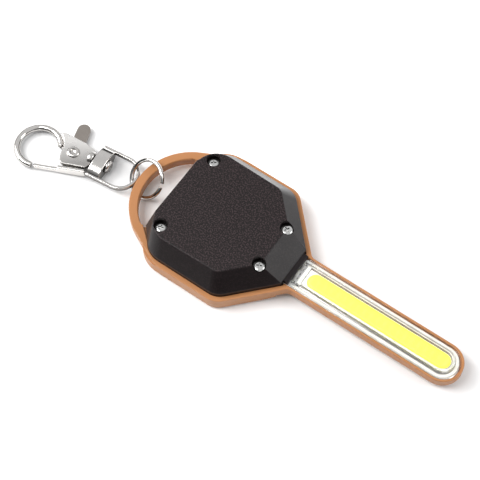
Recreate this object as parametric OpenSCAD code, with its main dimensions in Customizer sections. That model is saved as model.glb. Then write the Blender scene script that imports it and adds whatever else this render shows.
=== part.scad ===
// Keychain flashlight: a flat key-shaped light with a long strip lamp, a split ring and a swivel snap hook.
// Origin on the resting plane below the centre of the ring loop's arc, +X towards the lamp's tip, +Z up.

/* [Case] */
// Height of the case rim above the resting plane
rim_z = 4.5; // [4.2:0.1:4.8]
// Thickness of the flat loop and blade, down from the rim
plate_t = 2.9; // [2.8:0.1:3]
// Half of the head's width
head_w = 18.7; // [18.5:0.1:19]
// Outer radius of the ring loop
loop_r = 15.6; // [15.4:0.1:15.8]
// Inner radius of the ring loop
loop_in_r = 13.6; // [13.4:0.1:13.7]
// Half of the blade's width
blade_w = 5.2; // [5.1:0.1:5.5]
// Place of the centre of the blade's round end
tip_x = 73.8; // [70:0.1:78]
// Thickness of the case walls and floor
wall_t = 1.2; // [1:0.1:1.4]

/* [Front cover] */
// Height of the raised plateau above the resting plane
top_z = 10.5; // [10:0.1:11]
// Half of the plateau's width
plateau_w = 13.9; // [13.6:0.1:14.2]
// Height of the upright lip above the rim
lip_h = 1.3; // [1:0.1:1.5]
// Radius of the screw counterbores
counterbore_r = 1.75; // [1.7:0.05:1.8]

/* [Lamp] */
// Half of the lens flange's width
lens_w = 4.55; // [4.4:0.05:4.6]
// Half of the raised window's width
window_w = 2.9; // [2.8:0.05:3]
// Height of the window's top above the resting plane
window_z = 5.5; // [5.3:0.1:5.7]
// Half of the yellow strip's width
strip_w = 2.2; // [2:0.05:2.25]

/* [Back button] */
// Radius of the rubber button
button_r = 5; // [4:0.5:5]
// How far the button travels when pressed
button_travel = 0.35; // [0.2:0.05:0.35]

/* [Split ring] */
// Radius of the ring, to the middle of the wire
ring_r = 4.9; // [4.85:0.05:5]
// Radius of the ring's wire
ring_wire_r = 0.55; // [0.5:0.05:0.6]

/* [Swivel hook] */
// Radius of the hook's bow, to the middle of the wire
bow_r = 5.75; // [5.5:0.05:6]
// Radius of the bow's wire
bow_wire_r = 0.9; // [0.8:0.05:0.95]
// Half of the swivel bail's outer width
bail_w = 5; // [4.8:0.05:5.1]
// Height of the bail's strap
bail_h = 1.4; // [1.3:0.1:1.5]

/* [Hidden] */
$fn = 48;

tan_c = "#cd8c55";
black_c = "#322b2d";
steel_c = "#c9c7c4";

// Outline of the head: the loop's arc, two corners and the slope down to the neck
taper_a = 43.5;
taper_d = 27.7;
corner_r = 5;
shoulder_r = 8;
shoulder_x = 4.3;
shoulder_a = 117;
neck_fillet_r = 2;
head_x0 = -5.4;
floor_z = wall_t;
plate_z = rim_z - plate_t;
shelf_z = rim_z - 1;
cover_gap = 0.1;

// Cover
cover_in = head_w - 17.35;
cover_taper_in = 1.25;
cover_x0 = -5.3;
plateau_x0 = -4.1;
plateau_x1 = 25.2;
plateau_taper_d = 22.5;
lip_z = rim_z + lip_h;
neck_x = 31.2;
neck_band_x1 = 32.5;
neck_band_w = 4.55;
cover_t = 1.2;

// Screws, as pairs: the first pair by the ring edge, the second by the neck
screw_at = [[-0.73, 11.2], [-0.73, -11.2], [25, 6], [25, -6]];
screw_r = 1;
screw_seat_z = 8.4;
screw_head_r = 1.5;
screw_head_h = 0.8;
boss_r = 2.2;
post_z = 6;

// Lamp
lens_x0 = 32.7;
lens_tip_x = tip_x - 0.2;
board_z = rim_z - 1.4;
board_t = 0.6;
strip_x0 = 37.8;
strip_x1 = 73.6;
strip_t = 1.2;

// Electronics stack, upward from the floor
stack_x = 11.5;
cell_r = 10;
cell_t = 1.6;
pcb_z = 4.1;
pcb_t = 0.9;
cells_z = pcb_z + pcb_t + 0.6;
switch_z = 2.7;

// Ring: centre and the two angles of its tilt
ring_c = [-13.8, 0, 3.87];
ring_tilt = 41.9;
ring_turn = -110.8;
ring_gap_a = 12;
// Angle at which the ring is open, from its lowest point
ring_open_a = 122;

// Hook and bail: the plane of the swivel, the rivet and the collar
swivel_z = 2.2;
rivet_at = [-34.4, -4.2];
hook_yaw = 18;
collar_at = [-26.8, -2.35];
bail_yaw = 6;
collar_l = 3.6;
collar_w = 4.6;
collar_h = 2.1;
strap_t = 0.85;
bail_l = 10.8;
stem_r = 1.05;
stem_clear = 0.06;
bow_at = [-9.6, -0.15];
bow_z = 1.6;
plate_lo = 2.25;
plate_hi = 3.2;
lever_lo = 0.9;
lever_hi = 1.9;
rivet_r = 0.8;
// Line of the gate: its start by the bow's end, its slope and half its thickness
gate_at = [-8.95, -5.85];
gate_a = 6.3;
gate_t = 0.9;

// Points on an arc about c, from angle a0 to a1
function arc(c, r, a0, a1, n = 12) = [for (i = [0:n]) c + r * [cos(a0 + (a1 - a0) * i / n), sin(a0 + (a1 - a0) * i / n)]];
function mirrored(p) = [for (i = [len(p) - 1:-1:0]) [p[i][0], -p[i][1]]];
function both(p) = concat(p, mirrored(p));
// Centre of a round corner that touches the side line y = w and the sloping line at distance d
function corner_at(w, d, r) = [(d - r - sin(taper_a) * (w - r)) / cos(taper_a), w - r];
// Where the sloping line at distance d meets the height y
function taper_x(d, y) = (d - sin(taper_a) * y) / cos(taper_a);

// Whole flat outline of the case: loop, head and blade
function case_outline() = both(concat(
    arc([0, 0], loop_r, 180, shoulder_a, 20),
    arc([shoulder_x, head_w - shoulder_r], shoulder_r, shoulder_a, 90, 8),
    arc(corner_at(head_w, taper_d, corner_r), corner_r, 90, taper_a, 6),
    arc([taper_x(taper_d + neck_fillet_r, blade_w + neck_fillet_r), blade_w + neck_fillet_r],
        neck_fillet_r, 180 + taper_a, 270, 4),
    arc([tip_x, 0], blade_w, 90, 0, 12)));

// Outline of the head alone, drawn in from the case's by side, slope and ring-side amounts
function head_outline(side, slope, x0, x1, r = corner_r) = both(concat(
    [[x0, min(11.6, head_w - side - 5)]],
    arc([shoulder_x - 1.6, head_w - side - (shoulder_r - side)], shoulder_r - side, 146, 90, 8),
    arc(corner_at(head_w - side, taper_d - slope, r), r, 90, taper_a, 6),
    [[x1, (taper_d - slope - cos(taper_a) * x1) / sin(taper_a)]]));

function plateau_outline() = both(concat(
    [[plateau_x0, 8.6]],
    arc([plateau_x0 + 6.2, plateau_w - 6], 6, 168, 90, 8),
    arc(corner_at(plateau_w, plateau_taper_d, 3), 3, 90, taper_a, 6),
    [[plateau_x1, (plateau_taper_d - cos(taper_a) * plateau_x1) / sin(taper_a)]]));

// A slot-shaped plan with one square end at x0 and one round end about x1
module strip_plan(x0, x1, w) {
    translate([x0, -w]) square([x1 - x0, 2 * w]);
    translate([x1, 0]) circle(w);
}

module slab(z0, z1) {
    translate([0, 0, z0]) linear_extrude(z1 - z0) children();
}

module at_screws() {
    for (p = screw_at) translate([p[0], p[1], 0]) children();
}

module at_hook() {
    translate([rivet_at[0], rivet_at[1], 0]) rotate(hook_yaw) children();
}

module at_collar() {
    translate([collar_at[0], collar_at[1], swivel_z]) rotate(bail_yaw) children();
}

// Tan case: loop, tub and blade trough in one moulding
module case_shell() color(tan_c) {
    difference() {
        union() {
            slab(plate_z, rim_z) polygon(case_outline());
            hull() {
                slab(0, 0.1) polygon(head_outline(0.8, 1, head_x0 + 0.8, 28.4));
                slab(0.9, 1) polygon(head_outline(0.12, 0.25, head_x0 + 0.15, 31));
                slab(rim_z - 0.1, rim_z) polygon(head_outline(0.05, 0.05, head_x0, 32));
            }
        }
        loop_opening();
        loop_chamfer();
        slab(floor_z, shelf_z + 0.1) polygon(head_outline(wall_t + 1.3, wall_t + 1.3, head_x0 + wall_t + 0.4, 28.5));
        slab(shelf_z, rim_z + 1) polygon(head_outline(cover_in - cover_gap, cover_taper_in - cover_gap,
            head_x0 - 1, neck_band_x1 - 0.9));
        slab(board_z, rim_z + 1) strip_plan(27, tip_x, lens_w + 0.1);
        translate([stack_x, 0, -1]) cylinder(h = 4, r = button_r + 0.15);
    }
    difference() {
        at_screws() translate([0, 0, floor_z - 0.2]) cylinder(h = post_z - floor_z + 0.2, r = boss_r);
        at_screws() translate([0, 0, 1.8]) cylinder(h = 6, r = screw_r - 0.05);
    }
    // Posts under the circuit board
    for (x = [3.2, 19.6], y = [-8, 8]) translate([x, y, floor_z - 0.2])
        cylinder(h = pcb_z - floor_z + 0.18, r = 0.9, $fn = 24);
}

// Lower edges of the loop's bar, cut back so that the ring can swing round it
module loop_chamfer() {
    intersection() {
        rotate_extrude($fn = 96) {
            polygon([[loop_r - 0.7, plate_z - 0.1], [loop_r + 1, plate_z - 0.1], [loop_r + 1, plate_z + 1.7],
                [loop_r, plate_z + 0.6]]);
            polygon([[loop_in_r - 1, plate_z - 0.1], [loop_in_r + 0.3, plate_z - 0.1], [loop_in_r - 0.43, plate_z + 0.6],
                [loop_in_r - 1, plate_z + 1]]);
        }
        translate([-20, -10.6, 0]) cube([12, 21.2, rim_z]);
    }
}

// Crescent between the loop's bar and the head
module loop_opening() {
    slab(plate_z - 3, rim_z + 1) intersection() {
        translate([0.43, 0]) circle(loop_in_r, $fn = 96);
        translate([-20, -11.4]) square([20 + head_x0 - 0.2, 22.8]);
    }
}

// Black cover: upright lip, steep sides, flat plateau and the slope towards the neck
module cover_form(inset) {
    hull() {
        slab(lip_z - 0.1 - inset, lip_z - inset) polygon(head_outline(cover_in + inset,
            cover_taper_in + inset, cover_x0 + inset, neck_x - inset));
        slab(top_z - 0.05 - inset, top_z - inset) offset(-inset * 0.8) polygon(plateau_outline());
    }
}

module front_cover() color(black_c) difference() {
    union() {
        difference() {
            union() {
                slab(shelf_z + 0.05, lip_z - 0.05) polygon(head_outline(cover_in, cover_taper_in, cover_x0, neck_x));
                cover_form(0);
                neck_band();
            }
            slab(shelf_z - 1, lip_z - cover_t + 0.1) polygon(head_outline(cover_in + cover_t,
                cover_taper_in + cover_t, cover_x0 + cover_t, neck_x - 2.6));
            cover_form(cover_t);
        }
        intersection() {
            at_screws() translate([0, 0, post_z + 0.05]) cylinder(h = top_z - post_z - 0.3, r = boss_r + 0.5);
            union() {
                cover_form(0.2);
                slab(shelf_z, lip_z) polygon(head_outline(cover_in + 0.4, cover_taper_in + 0.4, cover_x0 + 0.4, neck_x - 0.4));
            }
        }
    }
    // Way out for the lamp board and its leads
    translate([27, -lens_w - 0.1, shelf_z - 1]) cube([8, 2 * lens_w + 0.2, board_z + board_t + 0.3 - shelf_z + 1]);
    translate([27, -2.9, shelf_z - 1]) cube([4, 5.8, 3.05]);
    translate([27, -2.9, shelf_z - 1]) cube([4.8, 5.8, 2.55]);
    at_screws() translate([0, 0, screw_seat_z]) cylinder(h = 4, r = counterbore_r);
    at_screws() translate([0, 0, 3]) cylinder(h = 8, r = screw_r + 0.1);
}

// Short lip of the cover that closes over the end of the lens
module neck_band() {
    translate([0, -neck_band_w, 0]) rotate([-90, 0, 0]) linear_extrude(2 * neck_band_w)
        polygon([[30.2, -(rim_z + 0.1)], [30.2, -(lip_z + 0.5)], [neck_x, -(lip_z + 0.1)],
            [neck_band_x1, -(rim_z + 0.75)], [neck_band_x1, -(rim_z + 0.1)]]);
}

module cover_screws() color(steel_c) at_screws() difference() {
    union() {
        translate([0, 0, screw_seat_z + 0.02]) cylinder(h = screw_head_h * 0.5, r = screw_head_r);
        translate([0, 0, screw_seat_z + screw_head_h * 0.5]) cylinder(h = screw_head_h * 0.5,
            r1 = screw_head_r, r2 = screw_head_r * 0.72);
        translate([0, 0, 2]) cylinder(h = screw_seat_z - 1.9, r = screw_r - 0.05);
    }
    for (a = [45, 135]) translate([0, 0, screw_seat_z + 0.35]) rotate(a) translate([-0.85, -0.2, 0]) cube([1.7, 0.4, 2]);
}

// Clear lens: flat flange with a raised window over the strip
module lens() color([0.9, 0.93, 0.95, 0.4]) difference() {
    union() {
        slab(board_z + board_t + 0.1, rim_z - 0.05) strip_plan(lens_x0, lens_tip_x, lens_w);
        slab(rim_z - 0.3, window_z - 0.4) strip_plan(lens_x0 + 1.2, lens_tip_x, window_w + 0.45);
        slab(window_z - 0.5, window_z) strip_plan(lens_x0 + 1.5, lens_tip_x, window_w);
    }
    slab(board_z, window_z - 0.5) strip_plan(lens_x0 + 2.2, lens_tip_x - 0.1, strip_w + 0.35);
    slab(board_z, board_z + board_t + 0.45) strip_plan(lens_x0 - 1, lens_x0 + 1, 2.6);
}

// Adhesive frame that holds the lens down on the lamp board
module lens_tape() color("#e8e4da") slab(board_z + board_t + 0.01, board_z + board_t + 0.09) difference() {
    strip_plan(lens_x0 + 1.2, lens_tip_x, lens_w - 0.35);
    strip_plan(lens_x0 + 2.4, lens_tip_x, strip_w + 0.7);
    translate([lens_x0, -2.7]) square([2.6, 5.4]);
}

module cob_board() color("#f4f3ee") slab(board_z + 0.02, board_z + board_t) strip_plan(30.5, lens_tip_x, lens_w - 0.25);

module phosphor_strip() color("#f6f04a") slab(board_z + board_t + 0.02, board_z + board_t + strip_t) union() {
    strip_plan(strip_x0, strip_x1, strip_w);
    translate([strip_x0, 0]) circle(strip_w);
}

module solder_tabs() color("#b9b6ae") for (s = [-1, 1])
    slab(board_z + board_t + 0.02, board_z + board_t + 0.2) translate([31, s * 1.7 - 0.7]) square([2.2, 1.4]);

// Flat tube through a list of points, swept with eight sides
function lead_ring(p, d, r) = let (
    side = [-d[1], d[0], 0] / norm([d[0], d[1], 0]),
    up = cross(d, side) / norm(cross(d, side)))
    [for (k = [0:7]) p + r * (cos(45 * k) * side + sin(45 * k) * up)];
module lead(path, r) {
    n = len(path);
    rings = [for (i = [0:n - 1]) lead_ring(path[i], path[min(i + 1, n - 1)] - path[max(i - 1, 0)], r)];
    pts = [for (g = rings) for (q = g) q];
    sides = [for (i = [0:n - 2]) for (k = [0:7])
        [8 * i + k, 8 * i + (k + 1) % 8, 8 * i + 8 + (k + 1) % 8, 8 * i + 8 + k]];
    polyhedron(points = pts, faces = concat([[for (k = [7:-1:0]) k]], sides, [[for (k = [0:7]) 8 * (n - 1) + k]]));
}
function lead_path(s) = [for (t = [0:0.125:1])
    [24.2 + 7.6 * t, s * (2.6 - 0.9 * t), pcb_z + pcb_t + 0.42 - 1.08 * t * t]];

module lead_red() color("#c0201c") lead(lead_path(1), 0.35);
module lead_black() color("#1c1b1b") lead(lead_path(-1), 0.35);

module circuit_board() color("#1f6b3c") slab(pcb_z, pcb_z + pcb_t) difference() {
    polygon(head_outline(4.6, 4.6, -0.9, 26));
    for (p = screw_at) translate(p) circle(boss_r + 0.4);
}

module driver_chip() color("#202022") translate([23, -1.2, pcb_z - 1.2]) cube([1.8, 2.4, 1.18]);
module resistors() color("#5a4a3c") for (y = [-4.6, 3.8]) translate([19.2, y, pcb_z - 0.6]) cube([1.6, 0.8, 0.58]);

// Low plastic ring with a floor ledge that keeps the cells in place
module cell_holder() color("#3a3a3c") translate([stack_x, 0, pcb_z + pcb_t + 0.02]) difference() {
    cylinder(h = 2.6, r = cell_r + 1.1, $fn = 96);
    translate([0, 0, 0.55]) cylinder(h = 4, r = cell_r + 0.15, $fn = 96);
    translate([0, 0, -1]) cylinder(h = 4, r = cell_r - 1.5, $fn = 96);
    translate([-cell_r - 3, -3, 0.8]) cube([5, 6, 4]);
}

module coin_cell(z) translate([stack_x, 0, z]) {
    cylinder(h = cell_t - 0.25, r = cell_r, $fn = 96);
    cylinder(h = cell_t - 0.02, r = cell_r - 1.2, $fn = 96);
}
module lower_cell() color("#d0d2d4") coin_cell(cells_z);
module upper_cell() color("#d0d2d4") coin_cell(cells_z + cell_t);

// Nickel strap over the upper cell, with a foot on the board
module positive_clip() color(steel_c) {
    translate([stack_x - cell_r - 1.5, -2, cells_z + 2 * cell_t + 0.02]) cube([14, 4, 0.2]);
    translate([stack_x - cell_r - 1.5, -2, pcb_z + pcb_t + 0.02]) cube([0.3, 4, cells_z + 2 * cell_t - pcb_z - pcb_t + 0.1]);
}

// Leaf under the lower cell
module negative_spring() color(steel_c) translate([stack_x, 0, pcb_z + pcb_t + 0.02]) {
    translate([-3, -1.5, 0]) cube([6, 3, 0.15]);
    translate([-1.5, -1.5, 0]) cube([0.3, 3, 0.5]);
    translate([1.2, -1.5, 0]) cube([0.3, 3, 0.5]);
    translate([-1.5, -1.5, 0.35]) cube([3, 3, 0.18]);
}

module switch_body() color("#2b2b2d") translate([stack_x, 0, switch_z]) difference() {
    translate([-2.6, -2.6, 0]) cube([5.2, 5.2, pcb_z - switch_z - 0.02]);
    translate([0, 0, -1]) cylinder(h = 1.9, r = 1.1);
}

module switch_plunger() color("#8a1f1c") translate([stack_x, 0, switch_z - 0.4]) cylinder(h = 0.8, r = 1.05);

// Rubber button, its flange inside the floor and a nub for the switch
module back_button() color("#26282a") translate([stack_x, 0, 0]) {
    translate([0, 0, 0.25]) cylinder(h = floor_z - 0.2, r = button_r);
    translate([0, 0, floor_z + 0.02]) cylinder(h = 0.45, r = button_r + 0.9);
    translate([0, 0, floor_z]) cylinder(h = switch_z - 0.42 - floor_z, r = 1.4);
}

// Ring above the button's flange, with room for the press
module button_retainer() color("#3a3a3c") translate([stack_x, 0, floor_z + 0.02]) difference() {
    cylinder(h = 1.15, r = button_r + 2.2);
    translate([0, 0, -1]) cylinder(h = 1.9, r = button_r + 1);
    translate([0, 0, -1]) cylinder(h = 4, r = button_r - 0.6);
}

// Open ring of round wire, tilted over and under the loop's bar
module jump_ring() color(steel_c) translate(ring_c) rotate([0, 0, ring_turn]) rotate([0, ring_tilt, 0])
    rotate([0, 0, ring_open_a]) rotate_extrude(angle = 360 - ring_gap_a, $fn = 96)
    translate([ring_r, 0]) circle(ring_wire_r, $fn = 24);

// Swivel bail: collar about the stem and a strap bent to a D
module swivel_bail() color(steel_c) at_collar() {
    difference() {
        union() {
            rotate([0, 90, 0]) translate([0, 0, -collar_l / 2]) linear_extrude(collar_l) collar_plan();
            translate([0, 0, -bail_h / 2]) linear_extrude(bail_h) difference() {
                bail_plan(bail_w, 0);
                bail_plan(bail_w - strap_t, 1);
            }
        }
        rotate([0, 90, 0]) translate([0, 0, -5]) cylinder(h = 10, r = stem_r + stem_clear, $fn = 36);
    }
}
module collar_plan() {
    translate([-collar_h, -collar_w + collar_h]) square([2 * collar_h, 2 * (collar_w - collar_h)]);
    for (s = [-1, 1]) translate([0, s * (collar_w - collar_h)]) circle(collar_h);
}
module bail_plan(w, extra) {
    r0 = bail_l - bail_w;
    translate([-collar_l / 2 - extra, -w]) square([r0 + collar_l / 2 + extra, 2 * w]);
    translate([r0, 0]) circle(w);
}

// Hook: wire bow, flat cheek plate, and a neck with the swivel stem and its peened head
module hook_body() color(steel_c) {
    at_hook() {
        translate([bow_at[0], bow_at[1], bow_z]) rotate(14) rotate_extrude(angle = 256, $fn = 80)
            translate([bow_r, 0]) circle(bow_wire_r, $fn = 24);
        difference() {
            slab(plate_lo, plate_hi) plate_plan();
            translate([0, 0, plate_lo - 1]) cylinder(h = 4, r = rivet_r + 0.03, $fn = 36);
        }
        spine();
    }
    at_collar() rotate([0, 90, 0]) {
        translate([0, 0, -collar_l / 2 - 1.6]) cylinder(h = collar_l + 2.1, r = stem_r, $fn = 36);
        translate([0, 0, -collar_l / 2 - 1.5]) cylinder(h = 1.2, r1 = 2, r2 = 1.7, $fn = 36);
        translate([0, 0, collar_l / 2 + 0.15]) cylinder(h = 0.8, r1 = 1.75, r2 = 1.3, $fn = 36);
    }
}
module plate_plan() {
    polygon(concat(
        arc(bow_at, 7.25, -18, 44, 9),
        [[-3.9, 5.05], [2, 3.7], [5, 2.5], [5.5, 1.4], [5.5, -1.6], [4.6, -3.2], [3.6, -3.9]],
        arc([-1.6, -2.8], 1.2, 270, 188, 5)));
}
module spine() {
    hull() {
        translate([bow_at[0] + bow_r * cos(14), bow_at[1] + bow_r * sin(14), bow_z]) sphere(bow_wire_r, $fn = 24);
        translate([-2.3, 1.7, plate_lo + 0.1]) cylinder(h = plate_hi - plate_lo - 0.1, r = 0.8, $fn = 24);
    }
}

// Gate lever: a cheek under the plate, a flange beside it, the gate bar and the thumb tab
module gate_lever() color("#98938f") at_hook() {
    difference() {
        slab(lever_lo, lever_hi) polygon(concat(
            arc([-0.1, 7.9], 1.75, 180, 0, 10),
            [[1.65, 3], [3.4, -0.5], [3.4, -4], [-1.6, -4.9], [-2, 0], [-1.85, 3]]));
        translate([0, 0, lever_lo - 1]) cylinder(h = 4, r = rivet_r + 0.05, $fn = 36);
    }
    translate(gate_at) rotate(gate_a) translate([0, -gate_t / 2]) {
        slab(lever_lo - 0.1, lever_hi + 0.2) square([13.6, gate_t]);
        slab(lever_lo - 0.3, plate_hi) translate([6.4, 0]) square([7.2, gate_t]);
    }
}

module gate_rivet() color(steel_c) at_hook() {
    translate([0, 0, 0.45]) cylinder(h = plate_hi + 0.1 - 0.45, r = rivet_r, $fn = 36);
    translate([0, 0, plate_hi + 0.02]) difference() {
        cylinder(h = 0.5, r1 = 1.7, r2 = 1.4, $fn = 36);
        translate([0, 0, 0.2]) cylinder(h = 1, r = 0.6, $fn = 24);
    }
    translate([0, 0, 0.2]) cylinder(h = 0.6, r1 = 1.2, r2 = 1.5, $fn = 36);
}

// Flat wire spring round the rivet, between the plate and the lever
module gate_spring() color("#8f8b86") at_hook() translate([0, 0, lever_hi + 0.05]) {
    difference() {
        cylinder(h = 0.25, r = 1.5, $fn = 36);
        translate([0, 0, -1]) cylinder(h = 3, r = 1.15, $fn = 36);
    }
    translate([1.2, -0.15, 0]) cube([2.6, 0.3, 0.25]);
}

case_shell();
front_cover();
cover_screws();
lens();
lens_tape();
cob_board();
phosphor_strip();
solder_tabs();
lead_red();
lead_black();
circuit_board();
driver_chip();
resistors();
cell_holder();
lower_cell();
upper_cell();
positive_clip();
negative_spring();
switch_body();
switch_plunger();
back_button();
button_retainer();
jump_ring();
swivel_bail();
hook_body();
gate_lever();
gate_rivet();
gate_spring();
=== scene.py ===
import math

import bmesh
import bpy
from bpy.props import FloatProperty, FloatVectorProperty, PointerProperty
from bpy.types import Operator, Panel, PropertyGroup
from mathutils import Matrix, Vector


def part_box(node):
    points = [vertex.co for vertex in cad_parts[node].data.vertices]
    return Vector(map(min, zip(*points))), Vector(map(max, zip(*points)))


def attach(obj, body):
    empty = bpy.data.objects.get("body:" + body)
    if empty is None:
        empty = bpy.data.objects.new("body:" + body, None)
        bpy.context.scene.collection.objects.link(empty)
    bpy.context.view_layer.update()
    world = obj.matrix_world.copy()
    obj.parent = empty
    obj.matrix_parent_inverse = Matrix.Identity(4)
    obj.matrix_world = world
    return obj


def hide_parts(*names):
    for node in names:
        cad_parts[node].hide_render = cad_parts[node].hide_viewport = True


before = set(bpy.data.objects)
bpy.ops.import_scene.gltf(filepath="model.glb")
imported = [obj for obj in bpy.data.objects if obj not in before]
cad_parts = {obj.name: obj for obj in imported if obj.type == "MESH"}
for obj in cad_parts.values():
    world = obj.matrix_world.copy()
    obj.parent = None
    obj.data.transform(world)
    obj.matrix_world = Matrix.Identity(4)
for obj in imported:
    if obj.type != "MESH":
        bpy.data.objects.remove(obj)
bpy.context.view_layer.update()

bl_info = {
    "name": "Keychain Flashlight",
    "version": (1, 0, 0),
    "blender": (4, 5, 0),
    "location": "View3D > Sidebar > Flashlight",
    "description": "Models a flat keychain flashlight with its ring and snap hook around the packed frame",
    "category": "Object",
}

MM = 0.001
CASE_LO, CASE_HI = (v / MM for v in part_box("case_shell"))
COVER_LO, COVER_HI = (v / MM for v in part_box("front_cover"))
LENS_LO, LENS_HI = (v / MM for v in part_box("lens"))
STRIP_LO, STRIP_HI = (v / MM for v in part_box("phosphor_strip"))
BOARD_LO, BOARD_HI = (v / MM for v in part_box("cob_board"))
BUTTON_LO, BUTTON_HI = (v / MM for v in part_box("back_button"))

# Plan of the case: the slope from the head down to the blade, and the screws
SLOPE = math.radians(43.5)
SLOPE_AT = 27.7
PLATEAU_SLOPE_AT = 22.5
HEAD_LEFT = -5.4
SCREWS = ((-0.73, 11.2), (-0.73, -11.2), (25, 6), (25, -6))
SCREW_FLOOR = 8.4
LOOP_OPENING_AT = Vector((0.43, 0))
LOOP_OPENING_R = 13.6
BLADE_END = 73.8
STACK_X = (BUTTON_LO.x + BUTTON_HI.x) / 2

# Places of the ring, the swivel and the hook
RING_AT = Vector((-13.8, 0, 3.87))
RING_TURN = -110.8
RING_TILT = 41.9
RING_GAP_TURN = 122
SWIVEL_AT = Vector((-26.8, -2.35, 2.2))
SWIVEL_TURN = 6
RIVET_AT = Vector((-34.4, -4.2, 0))
HOOK_TURN = 18
BOW_AT = Vector((-9.6, -0.15, 1.6))
PLATE_UNDER, PLATE_TOP = 2.25, 3.2

# Lamp: middle of the lens's round end, and the distance between the chips under the phosphor
LENS_ARC_X = 73.6
CHIP_PITCH = 1.9

# Stage
CAMERA_LENS = 99.2
CAMERA_AIM = Vector((15.88, -1.02, 4.5))
CAMERA_ALONG = Vector((-0.2607, 0.3736, -0.8902))
CAMERA_DISTANCE = 328.5
LIT_AT = (15, 0, 3)
# Name, place, size and share of the key light's power
SOFTBOXES = (("key_light", (-410, -160, 400), (340, 340), 1.25),
             ("fill_light", (430, 220, 250), (260, 380), 0.38),
             ("top_light", (-110, -150, 430), (150, 150), 0.22))
# Sine of the height above the horizon, and the tone of the room there
ROOM_TONES = ((0.06, 0.8), (0.12, 0.05), (0.36, 0.05), (0.43, 0.75), (0.72, 0.75), (0.8, 0.7))


# ---------------------------------------------------------------- settings


def length(name, what, millimetres):
    return FloatProperty(name=name, description=what, default=millimetres * MM, min=0, unit="LENGTH",
                         precision=4)


def colour(name, what, value):
    return FloatVectorProperty(name=name, description=what, default=value, min=0, max=1, size=3,
                               subtype="COLOR")


class CaseSettings(PropertyGroup):
    rim: length("Rim height", "Height of the rim above the table", 4.5)
    plate: length("Plate thickness", "Thickness of the loop and of the blade", 2.9)
    edge: length("Lower edge", "Radius of the blade's and the loop's lower edge", 0.5)
    foot: length("Head's lower edge", "Radius of the head's lower edge", 1.0)
    crown: length("Rim edge", "Radius of the rim's upper edge", 0.2)
    tint: colour("Case", "Colour of the moulded case", (0.43, 0.185, 0.066))


class CoverSettings(PropertyGroup):
    lip: length("Lip", "Height of the upright lip above the rim", 1.3)
    wall: length("Wall", "Thickness of the cover", 1.2)
    ridge: length("Ridge", "Radius of the edges between the faces", 0.28)
    counterbore: length("Counterbore", "Radius of the screw counterbores", 1.75)
    tint: colour("Cover", "Colour of the textured cover", (0.0078, 0.0052, 0.0055))


class LampSettings(PropertyGroup):
    window: length("Window", "Half of the raised window's width", 2.9)
    strip: colour("Strip", "Colour of the glowing strip's silicone", (0.90, 0.88, 0.06))
    board: colour("Board", "Colour of the lamp board", (0.80, 0.80, 0.77))


class ClaspSettings(PropertyGroup):
    ring_wire: length("Ring wire", "Radius of the ring's wire", 0.55)
    ring: length("Ring", "Radius of the ring, to the middle of its wire", 4.9)
    bow_wire: length("Bow wire", "Radius of the hook's wire", 0.9)
    bow: length("Bow", "Radius of the hook's bow, to the middle of its wire", 5.747)
    plating: colour("Plating", "Colour of the nickel plating", (0.72, 0.70, 0.675))
    tab: colour("Tab", "Colour of the gate lever's tab", (0.30, 0.27, 0.245))


class StageSettings(PropertyGroup):
    floor: colour("Floor", "Colour of the floor", (0.92, 0.92, 0.92))
    key: FloatProperty(name="Key light", description="Power of the key light", default=2.6, min=0,
                       unit="POWER")
    # Strength of the painted light glowing on the floor's far side
    painted_floor_light: FloatProperty(name="Painted floor light", description="Painted light on the floor's far side",
                        default=1.6, min=0)


SETTINGS = {
    "flashlight_case": CaseSettings,
    "flashlight_cover": CoverSettings,
    "flashlight_lamp": LampSettings,
    "flashlight_clasp": ClaspSettings,
    "flashlight_stage": StageSettings,
}


# ---------------------------------------------------------------- plans, in millimetres


def corner(x, y):
    """A sharp corner, written as an arc without a radius."""
    return (x, y, 0, 0, 0, 0)


def ends(arc):
    """First and last point of an arc: centre x and y, radius, two angles in degrees, steps."""
    x, y, r, first, last, _ = arc
    return [Vector((x + r * math.cos(a), y + r * math.sin(a), 0)) for a in map(math.radians, (first, last))]


def points(arcs):
    """Every point that an outline is traced through."""
    found = []
    for x, y, r, first, last, steps in arcs:
        for i in range(steps + 1):
            a = math.radians(first + (last - first) * i / max(steps, 1))
            found.append(Vector((x + r * math.cos(a), y + r * math.sin(a), 0)))
    return found


def mirrored(half):
    """The half outline and its mirror image across the blade's middle line."""
    return half + [(x, -y, r, -last, -first, n) for x, y, r, first, last, n in reversed(half)]


def slope_corner(side, at, r):
    """Round corner between a straight side and the slope."""
    middle_x = (at - r - math.sin(SLOPE) * (side - r)) / math.cos(SLOPE)
    return (middle_x, side - r, r, 90, math.degrees(SLOPE), 8)


def on_slope(at, x=None, y=None):
    """The slope's y at x, or its x at y."""
    if y is None:
        return (at - math.cos(SLOPE) * x) / math.sin(SLOPE)
    return (at - math.sin(SLOPE) * y) / math.cos(SLOPE)


def case_plan():
    side, blade = CASE_HI.y, CASE_HI.x - BLADE_END
    return mirrored([
        (0, 0, -CASE_LO.x, 180, 117, 24),
        (4.3, side - 8, 8, 117, 90, 8),
        slope_corner(side, SLOPE_AT, 5),
        (on_slope(SLOPE_AT + 2, y=blade + 2), blade + 2, 2, 180 + math.degrees(SLOPE), 270, 6),
        (BLADE_END, 0, blade, 90, 0, 14),
    ])


def head_plan(side, slope, left, right):
    """The head alone, drawn in from the case's outline by side and by slope."""
    edge = CASE_HI.y - side
    return mirrored([
        corner(left, min(11.6, edge - 5)),
        (2.7, edge - 8 + side, 8 - side, 146, 90, 10),
        slope_corner(edge, SLOPE_AT - slope, 5),
        corner(right, on_slope(SLOPE_AT - slope, x=right)),
    ])


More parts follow.
